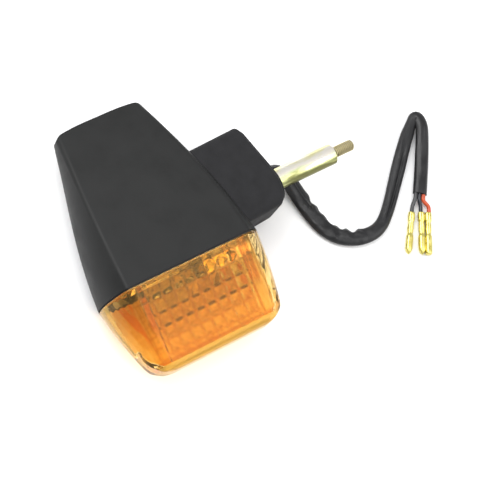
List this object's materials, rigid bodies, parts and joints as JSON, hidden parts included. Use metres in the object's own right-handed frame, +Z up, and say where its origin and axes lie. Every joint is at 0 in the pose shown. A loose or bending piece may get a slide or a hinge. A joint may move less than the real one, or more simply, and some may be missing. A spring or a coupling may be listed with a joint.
{
  "type": "turn signal indicator",
  "caption": "Motorcycle turn signal: tapered black housing and amber wedge lens on a rubber neck with a stepped threaded stud and a sleeved harness with bullet terminals.",
  "frame": {"origin": "on the stud's axis at the shoulder where the thread starts", "axes": "+X the way the lamp shines, +Y out along the stud, away from the lamp, +Z up"},
  "size_m": [0.1348, 0.2233, 0.044],
  "materials": {
    "housing_plastic": "fine matte grain",
    "amber_lens": "clear amber, polished outside, optics inside",
    "gasket_rubber": "soft matte",
    "screw_steel": "zinc plated",
    "reflector_mirror": "vacuum metallised",
    "socket_steel": "plated sheet",
    "insulator_board": "brown laminate",
    "terminal_brass": "bright drawn brass",
    "bulb_glass": "clear",
    "bulb_black_glass": "black glass",
    "bulb_solder": "soldered",
    "filament_wire": "drawn wire",
    "neck_rubber": "moulded matte",
    "zinc_yellow_steel": "yellow passivated zinc",
    "sleeve_vinyl": "satin vinyl tube",
    "wire_dark_cover": "satin",
    "wire_black_cover": "satin",
    "wire_red_cover": "satin"
  },
  "bodies": {
    "mount": {"stud": "zinc_yellow_steel", "stud_plate": "zinc_yellow_steel", "neck": "neck_rubber", "harness_sleeve": "sleeve_vinyl", "wire_dark": "wire_dark_cover", "wire_black": "wire_black_cover", "wire_red": "wire_red_cover", "bullet_dark": "terminal_brass", "bullet_black": "terminal_brass", "bullet_red": "terminal_brass"},
    "head": {"housing": "housing_plastic", "reflector": "reflector_mirror", "reflector_screws": "screw_steel", "socket_bracket": "socket_steel", "socket_shell": "socket_steel", "socket_spring": "socket_steel", "lead_running": "wire_dark_cover", "lead_ground": "wire_black_cover", "lead_turn": "wire_red_cover", "clamp_plate": "socket_steel", "clamp_screws": "screw_steel"},
    "lens": {"lens": "amber_lens", "lens_gasket": "gasket_rubber", "lens_screws": "screw_steel"},
    "carrier": {"contact_wafer": "insulator_board", "wafer_contacts": "terminal_brass"},
    "bulb": {"bulb_glass": "bulb_glass", "bulb_base": "terminal_brass", "bulb_insulator": "bulb_black_glass", "bulb_contacts": "bulb_solder", "bulb_filaments": "filament_wire", "bulb_posts": "filament_wire"}
  },
  "joints": [
    {"name": "neck_flex", "type": "hinge", "parent": "mount", "child": "head", "pos_m": [-0.007, -0.0515, 0], "axis": [0, 0, 1], "range_deg": [-12, 12], "stiffness_Nm_per_rad": 6, "deforming": ["neck"]},
    {"name": "lens_off", "type": "slide", "parent": "head", "child": "lens", "axis": [1, 0, 0], "range_m": [0, 0.06]},
    {"name": "bulb_push", "type": "slide", "parent": "head", "child": "carrier", "axis": [0, 1, 0], "range_m": [0, 0.002], "stiffness_N_per_m": 1500, "springref_m": -0.002, "deforming": ["socket_spring", "lead_running", "lead_turn"]},
    {"name": "bulb_twist", "type": "hinge", "parent": "carrier", "child": "bulb", "pos_m": [0.0223, -0.085, 0], "axis": [0, 1, 0], "range_deg": [0, 20]}
  ]
}
